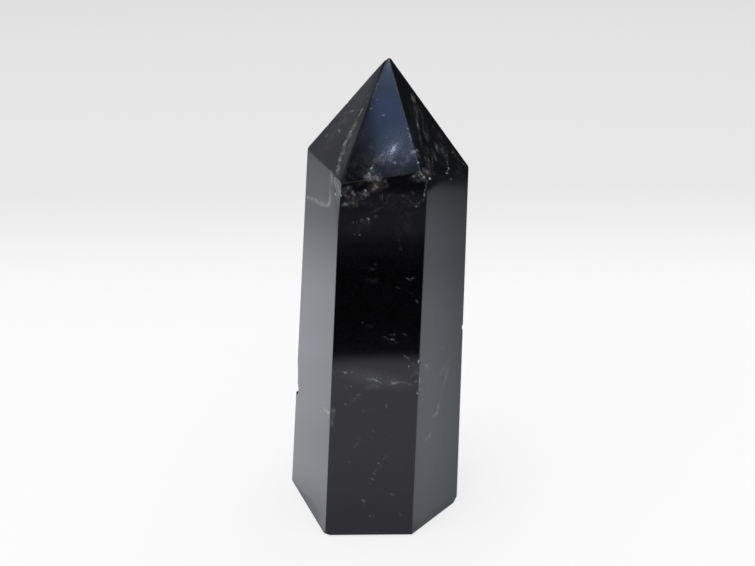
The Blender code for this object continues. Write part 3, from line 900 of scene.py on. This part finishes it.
def polished_morion_quartz():
    """Morion, quartz darkened nearly to black, ground and polished: it hides what lies more than
    a hair's depth in, and gives the eye a clear mirror on every facet, broken by pale veils."""
    material, tree, output = new_material("polished_morion_quartz")
    where = add(tree, "TexCoord").outputs["Object"]
    chipped = add(tree, "Attribute", attribute_name="chipped").outputs["Fac"]
    frosted = add(tree, "Attribute", attribute_name="frosted").outputs["Fac"]

    # Cracks run ragged: the place is shaken by up to a fifth of a millimetre.
    shake = noise(tree, where, CRACK_BEND, 5).outputs["Color"]
    centred = add(tree, "VectorMath", {0: shake, 1: (0.5, 0.5, 0.5)}, operation="SUBTRACT")
    wander = {0: centred.outputs[0], "Scale": CRACK_WANDER * MM}
    scaled = add(tree, "VectorMath", wander, operation="SCALE")
    shaken = add(tree, "VectorMath", {0: where, 1: scaled.outputs[0]}, operation="ADD").outputs[0]
    # Crushed quartz glints in grains of about a fifth of a millimetre, in crumbs of about one.
    grain = between(tree, noise(tree, where, GRAIN, 2).outputs["Fac"], 0.36, 0.64, 0.2, 1.8)
    soft_grain = noise(tree, where, SOFT_GRAIN, 1).outputs["Fac"]
    soft_grain = between(tree, soft_grain, 0.34, 0.66, 0.6, 1.4)
    crumbs = between(tree, noise(tree, shaken, CRUMB, 3).outputs["Fac"], 0.42, 0.64, 0.3, 1.45)
    crumbs = times(tree, crumbs, soft_grain)
    # Growth streaks: the same noise drawn out along one line.
    drawn_out = add(
        tree,
        "Mapping",
        {
            "Vector": shaken,
            "Rotation": Vector(STREAK_LINE).to_track_quat("X", "Z").to_euler(),
            "Scale": (STREAK_STRETCH, 1.0, 1.0),
        },
        vector_type="TEXTURE",
    ).outputs[0]
    streaks = noise(tree, drawn_out, STREAK_WIDTH, 3).outputs["Fac"]
    streaks = between(tree, streaks, 0.42, 0.62, 0.1, 1.6)

    # The stone's own black, then each pale thing in it, by how much light of its tint it adds.
    body = linear(MORION_BLACK)[:3]
    cloudy = between(tree, noise(tree, where, CLOUD, 3).outputs["Fac"], 0.35, 0.75, 0.0, 0.0015)
    dust = between(tree, noise(tree, where, DUST, 2).outputs["Fac"], 0.45, 0.75, 0.0, 0.003)
    layers = [
        (cloudy, "c8c6d6"),
        (dust, "d4d2d8"),
        (times(tree, marks_field(tree, shaken, CRACKS, CRACK_SPREAD), grain), "dfe6f2"),
        (times(tree, marks_field(tree, shaken, CRUSHED, VEIL_SPREAD), crumbs), "d9dde2"),
        (times(tree, marks_field(tree, where, HAZE, VEIL_SPREAD), grain), "c4d0f0"),
        (times(tree, marks_field(tree, where, STREAKS, VEIL_SPREAD), streaks), "d2d4cc"),
        (times(tree, marks_field(tree, shaken, MAUVE_VEILS, VEIL_SPREAD), crumbs), "d2c2e6"),
        (times(tree, marks_field(tree, shaken, OCHRE_VEILS, VEIL_SPREAD), crumbs), "dfd9c2"),
        (times(tree, marks_field(tree, shaken, STAINS, VEIL_SPREAD), soft_grain), "dcdcd0"),
        (times(tree, marks_field(tree, shaken, MILKY_BANDS, VEIL_SPREAD), soft_grain), "dcdee2"),
        (times(tree, frosted, 0.006), "cfcbc9"),
        (times(tree, chipped, 0.015), "d6d2c4"),
    ]
    for amount, tint in layers:
        light = add(tree, "VectorMath", {0: linear(tint)[:3], "Scale": amount}, operation="SCALE")
        body = add(tree, "VectorMath", {0: body, 1: light.outputs[0]}, operation="ADD").outputs[0]

    rough = times(tree, frosted, FROST_ROUGHNESS)
    ragged = times(tree, chipped, CHIP_ROUGHNESS)
    rough = add(tree, "Math", {0: rough, 1: ragged}, operation="ADD").outputs[0]
    rough = add(tree, "Math", {0: rough, 1: POLISH_ROUGHNESS}, operation="ADD").outputs[0]
    stone = add(tree, "BsdfPrincipled", {"Base Color": body, "Roughness": rough, "IOR": QUARTZ_IOR})
    tree.links.new(stone.outputs["BSDF"], output.inputs["Surface"])
    return material


def glowing_screen():
    """A screen of thin paper lit from behind, brighter or darker by its own glow attribute."""
    material, tree, output = new_material("lit_paper_screen")
    glow = add(tree, "Attribute", attribute_name="glow")
    light = add(tree, "Emission", {"Color": glow.outputs["Color"], "Strength": 1.0})
    tree.links.new(light.outputs["Emission"], output.inputs["Surface"])
    return material


# The table's glow near the camera and far behind the stone, a painted falloff of light; how much
# of it is left in a painted shadow next to the stone's foot, and the middle of that painted shadow.
TABLE_LIGHT_NEAR = 0.75
TABLE_LIGHT_FAR = 0.60
LIGHT_LEFT_IN_PAINTED_SHADOW = 0.955
PAINTED_SHADOW_MIDDLE = (-4 * MM, -22 * MM, 0)


def light_table():
    """Opal acrylic over a light: matt white whose glow weakens a little farther back, a painted
    falloff of light. Things throw hardly any shadow on it; a faint broad painted shadow round the
    stone's foot is dimmed into its glow."""
    material, tree, output = new_material("opal_acrylic_light_table")
    where = add(tree, "TexCoord").outputs["Object"]
    back = add(tree, "SeparateXYZ", {"Vector": where}).outputs["Y"]
    shine = between(tree, back, 90 * MM, 260 * MM, TABLE_LIGHT_NEAR, TABLE_LIGHT_FAR)
    away = add(tree, "VectorMath", {0: where, 1: PAINTED_SHADOW_MIDDLE}, operation="DISTANCE")
    away = away.outputs["Value"]
    # Painted shadow: the table's glow is dimmed round the stone's foot.
    shine = times(tree, shine, between(tree, away, 14 * MM, 50 * MM, LIGHT_LEFT_IN_PAINTED_SHADOW, 1.0))
    sheet = add(
        tree,
        "BsdfPrincipled",
        {
            "Base Color": linear("8f8f8f"),
            "Roughness": 0.9,
            "Specular IOR Level": 0.0,
            "Emission Color": linear("ffffff"),
            "Emission Strength": shine,
        },
    )
    tree.links.new(sheet.outputs["BSDF"], output.inputs["Surface"])
    return material


# ---------------------------------------------------------------- building

# A point that has moved this far, in millimetres, is chipped through and through.
CHIPPED_THROUGH = 0.06


def set_attribute(piece, name, kind, socket, values):
    """An attribute on a piece's points, from an array with one row for each point."""
    layer = piece.data.attributes.new(name, kind, "POINT")
    layer.data.foreach_set(socket, values.astype(np.float32).ravel())


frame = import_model()

planes = ground_planes()
points, quads, triangles, facet_of = ground_stone(planes)
points, moved = chip_away(points, planes)
crystal = mesh_piece("morion_crystal", points, (quads, triangles))
set_attribute(crystal, "chipped", "FLOAT", "value", np.clip(moved / CHIPPED_THROUGH, 0, 1))
set_attribute(crystal, "frosted", "FLOAT", "value", facet_of == list(planes).index("strip"))
crystal.data.materials.append(polished_morion_quartz())
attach(crystal, "root")
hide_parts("crystal")

# ---------------------------------------------------------------- floor, screens, lights, camera

# How far the light table reaches to each side.
TABLE_REACH = 4000


def lay_floor():
    """The light table's top: one flat square under the stone, which reaches far beyond the view."""
    corners = np.array(((-1.0, -1, 0), (1, -1, 0), (1, 1, 0), (-1, 1, 0))) * TABLE_REACH
    floor = mesh_piece("floor", corners, (np.array([[0, 1, 2, 3]]),), smooth=False)
    floor.data.materials.append(light_table())


lay_floor()


def rise(value, low, high):
    """0 below the low limit, 1 above the high one, and a smooth S between them."""
    share = np.clip((value - low) / (high - low), 0, 1)
    return share * share * (3 - 2 * share)


def window(value, low, high, soft):
    """1 between two limits and 0 beyond them, with soft sides."""
    return rise(value, low - soft, low + soft) * (1 - rise(value, high - soft, high + soft))


def screen(name, points, across, colours, material):
    """A lit screen from a grid of points, seen only in mirrors; each point has its own light."""
    numbers = np.arange(len(points)).reshape(-1, across)
    quads = np.stack((numbers[:-1, :-1], numbers[:-1, 1:], numbers[1:, 1:], numbers[1:, :-1]), -1)
    piece = mesh_piece(name, points, (quads.reshape(-1, 4),))
    glow = np.column_stack((colours, np.ones(len(points))))
    set_attribute(piece, "glow", "FLOAT_COLOR", "color", glow)
    piece.data.materials.append(material)
    for kind in ("camera", "diffuse", "shadow", "transmission", "volume_scatter"):
        setattr(piece, "visible_" + kind, False)


TRAY_RADIUS = 121.0
TRAY_HEIGHT = 160.0

# What the stone mirrors from the paper tray round it: how far out along the tray's bottom and then
# up its wall, and how bright it is there.
# Each of these tables is darker within about ten millimetres of the foot: painted shade of the
# stone's foot.
LEFT_LIGHT = (
    (17.1, 0.62), (17.3, 0.68), (17.6, 0.75), (18.3, 0.8), (19.5, 0.86), (21, 0.92), (24, 0.99),
    (28, 1.05), (46, 1.08), (58, 1.15), (84, 1.17), (100, 1.24), (121, 1.2), (132, 1.19),
    (136, 1.12), (140, 1.02), (143, 0.95), (147, 0.84), (150, 0.76), (154, 0.65), (161, 0.58),
    (168, 0.5), (174, 0.42), (190, 0.31), (225, 0.28), (235, 0.34), (243, 0.39),
)
FRONT_LIGHT = (
    (18, 0.6), (26, 0.6), (33, 0.65), (40, 0.7), (55, 0.76), (92, 0.81), (107, 0.83), (112, 0.79),
    (116, 0.71), (119, 0.52), (121, 0.38), (122.2, 0.13), (123.2, 0.06), (126, 0.04), (132, 0.015),
    (145, 0.015), (149, 0.03), (152, 0.055), (153.8, 0.07), (155.2, 0.12), (157.5, 0.175),
    (161, 0.19), (164, 0.15), (167, 0.15), (168.2, 0.07), (169.5, 0.045), (171, 0.05),
)
RIGHT_LIGHT = (
    (17, 0.62), (17.6, 0.71), (18.3, 0.75), (22, 0.8), (29, 0.88), (37, 0.93), (46, 0.98),
    (77, 1.02), (102, 0.98), (117, 0.98), (124, 0.91), (128.5, 0.84), (133, 0.77), (142, 0.72),
    (146.5, 0.64), (149.5, 0.58), (152.4, 0.5), (154, 0.47), (155.3, 0.41), (156.4, 0.29),
    (157.6, 0.18), (158.8, 0.11), (161, 0.08), (281, 0.08),
)
LIGHT_AROUND = (
    (18, 0.7), (28, 0.95), (60, 1.0), (121, 1.0), (130, 0.95), (145, 0.7), (160, 0.45), (176, 0.3),
)

# Two bright spots on the tray's left, as from lamps, mirrored only in the strip and in the broken
# shoulder: degrees from the front and way out, each with its spread, and then the brightness.
GLARES = ((-120, 6, 250, 8, 0.10), (-121.5, 7.5, 170.5, 7, 0.6))

# The line on the tray that the right facet mirrors in its middle: a point on it and the way across
# it, towards the far side, where the light falls by this share a millimetre, within two limits.
RIGHT_LINE = (45.8, 4.5)
ACROSS_RIGHT_LINE = (-0.348, 0.938)
RIGHT_FALL = 0.045
RIGHT_LIMITS = (0.8, 1.18)

# The dark room behind, mirrored in the outermost arrises: how much of the light it takes, and over
# which degrees and which way out it grows to that.
ROOM_DARKNESS = 0.75
ROOM_DEGREES = (142, 165)
ROOM_OUT = (22, 45)

# How much light is left under the stone's edge, in a painted shade dimmed into the tray's glow,
# and from where to where, in millimetres outside its faces, it comes back.
LIGHT_IN_PAINTED_EDGE_SHADE = 0.2
PAINTED_EDGE_SHADE_SPAN = (-0.3, 0.6)

# The tints of the tray's three sides, and the degrees between which each lies.
RIGHT_SIDE = ((0.94, 1.0, 1.12), 40, 135)
LEFT_SIDE = ((0.97, 1.0, 1.09), -160, -45)
FRONT_SIDE = ((1.0, 1.0, 1.16), -32, 32)
SIDE_BLEND = 5


def tray_light(turn, out, x, y):
    """The tray's brightness by degrees from the front and by the way out and up, in millimetres."""
    tables = (LEFT_LIGHT, FRONT_LIGHT, RIGHT_LIGHT, LIGHT_AROUND)
    left, front, right, light = (np.interp(out, *zip(*table)) for table in tables)
    beside = (x - RIGHT_LINE[0]) * ACROSS_RIGHT_LINE[0] + (y - RIGHT_LINE[1]) * ACROSS_RIGHT_LINE[1]
    right = right * np.clip(1 - RIGHT_FALL * beside, *RIGHT_LIMITS)
    for lamp_turn, turn_spread, lamp_out, out_spread, brightness in GLARES:
        spot = ((turn - lamp_turn) / turn_spread) ** 2 + ((out - lamp_out) / out_spread) ** 2
        left = left + brightness * np.exp(-spot)
    dark = 1 - ROOM_DARKNESS * rise(np.abs(turn), *ROOM_DEGREES) * rise(out, *ROOM_OUT)
    colours = (light * dark)[:, None] * np.ones(3)
    # Painted shade: next to the foot the tray's glow is dimmed, standing for the stone's own shadow
    # on the table.
    outside = [planes[name][0][:2] @ (x, y) - planes[name][1] for name in PRISM_FACES]
    painted_edge_shade = LIGHT_IN_PAINTED_EDGE_SHADE + (1 - LIGHT_IN_PAINTED_EDGE_SHADE) * rise(np.max(outside, axis=0), *PAINTED_EDGE_SHADE_SPAN)
    for side, (tint, start, end) in ((right, RIGHT_SIDE), (left, LEFT_SIDE), (front, FRONT_SIDE)):
        share = window(turn, start, end, SIDE_BLEND)
        colours = colours * (1 - share[:, None]) + (side * share)[:, None] * tint
    return colours * painted_edge_shade[:, None]


paper = glowing_screen()
# The grid is finer round the foot and where the tray's bottom turns up into its wall.
ways_out = np.concatenate(
    (
        np.arange(12, 24, 0.25),
        np.arange(24, 110, 1),
        np.arange(110, 130, 0.25),
        np.arange(130, TRAY_RADIUS + TRAY_HEIGHT + 0.5, 1),
    )
)
ways_round = np.arange(-180.0, 180.5, 1.0)
turns, outs = np.meshgrid(ways_round, ways_out)
turns, outs = turns.ravel(), outs.ravel()
tray_x = np.sin(np.radians(turns)) * np.minimum(outs, TRAY_RADIUS)
tray_y = -np.cos(np.radians(turns)) * np.minimum(outs, TRAY_RADIUS)
screen(
    "paper_tray",
    np.column_stack((tray_x, tray_y, np.maximum(outs - TRAY_RADIUS, 0.01))),
    len(ways_round),
    tray_light(turns, outs, tray_x, tray_y),
    paper,
)

# A skylight pane over the point: blue-white, fading out towards the left and the front, by
# millimetres to the right and to the back. Its red and its blue are shares of the same light, and
# the blue is deepest in the middle.
PANE_HEIGHT = 744.0
PANE_LIGHT_ACROSS = (
    (-150, 0.15), (-139, 0.27), (-134, 0.37), (-130, 0.61), (-125, 1.0), (-120, 1.14), (-110, 1.2),
    (-104, 1.16),
)
PANE_LIGHT_BACK = (
    (-355, 0.2), (-348, 0.32), (-341, 0.52), (-336, 0.65), (-323, 0.7), (-310, 0.61), (-297, 0.67),
    (-283, 0.62), (-271, 0.86),
)
PANE_RED_BACK = ((-350, 1.08), (-330, 0.98))
PANE_GREEN = 1.37
PANE_BLUE_BACK = ((-350, 2.1), (-330, 2.3), (-315, 2.5), (-297, 2.8), (-283, 2.3))
PANE_BLUE_ACROSS = ((-140, 0.8), (-125, 0.98))


def pane_light(x, y):
    """The pane's colour by the way to the right and to the back, in millimetres."""
    red = np.interp(y, *zip(*PANE_RED_BACK))
    green = np.full(len(x), PANE_GREEN)
    blue = np.interp(y, *zip(*PANE_BLUE_BACK)) * np.interp(x, *zip(*PANE_BLUE_ACROSS))
    light = np.interp(x, *zip(*PANE_LIGHT_ACROSS)) * np.interp(y, *zip(*PANE_LIGHT_BACK))
    return light[:, None] * np.column_stack((red, green, blue))


columns = np.linspace(-160, 200, 91)
pane_x, pane_y = np.meshgrid(columns, np.linspace(-450, -150, 51))
pane_x, pane_y = pane_x.ravel(), pane_y.ravel()
screen(
    "skylight",
    np.column_stack((pane_x, pane_y, np.full(len(pane_x), PANE_HEIGHT))),
    len(columns),
    pane_light(pane_x, pane_y),
    paper,
)

CEILING_PLACE = (-150, -450, 1300)
CEILING_WIDTH = 1600
CEILING_WATTS = 15.5
ROOM_LIGHT = 0.3


def hang_ceiling_softbox():
    """A square area light high in front of the stone, aimed at its foot and left out of mirrors."""
    data = bpy.data.lights.new("ceiling_softbox", "AREA")
    data.shape = "RECTANGLE"
    data.size = CEILING_WIDTH * MM
    data.size_y = CEILING_WIDTH * MM
    data.energy = CEILING_WATTS
    lamp = bpy.data.objects.new("ceiling_softbox", data)
    lamp.location = Vector(CEILING_PLACE) * MM
    lamp.rotation_euler = (-Vector(CEILING_PLACE)).to_track_quat("-Z", "Y").to_euler()
    lamp.visible_glossy = False
    bpy.context.scene.collection.objects.link(lamp)


hang_ceiling_softbox()

world = bpy.data.worlds.new("studio")
world.use_nodes = True
world.node_tree.nodes["Background"].inputs["Color"].default_value = linear("ffffff")
world.node_tree.nodes["Background"].inputs["Strength"].default_value = ROOM_LIGHT
bpy.context.scene.world = world

# The camera stands 0.25 m away and looks down on the stone by 19.6 degrees. Its place and its lens
# are in millimetres, and its angles in degrees.
CAMERA_PLACE = (7.645, -221.538, 125.239)
CAMERA_PITCH = 19.583
CAMERA_YAW = -1.732
CAMERA_ROLL = 1.38
CAMERA_LENS = 57.22
FILM_WIDTH = 36


def add_camera():
    """The camera from its place, pitch, yaw and roll."""
    pitch, yaw, roll = np.radians((CAMERA_PITCH, CAMERA_YAW, CAMERA_ROLL))
    forward = np.array((np.sin(yaw) * np.cos(pitch), np.cos(yaw) * np.cos(pitch), -np.sin(pitch)))
    level = np.array((np.cos(yaw), -np.sin(yaw), 0.0))
    down = np.cross(forward, level)
    right = np.cos(roll) * level + np.sin(roll) * down
    down = np.cos(roll) * down - np.sin(roll) * level
    data = bpy.data.cameras.new("camera")
    data.lens = CAMERA_LENS
    data.sensor_width = FILM_WIDTH
    data.clip_start = 0.005
    turn = Matrix(np.array((right, -down, -forward)).T.tolist()).to_4x4()
    camera = bpy.data.objects.new("camera", data)
    camera.matrix_world = Matrix.Translation(Vector(CAMERA_PLACE) * MM) @ turn
    bpy.context.scene.collection.objects.link(camera)
    bpy.context.scene.camera = camera


add_camera()
bpy.context.scene.view_settings.view_transform = "Standard"
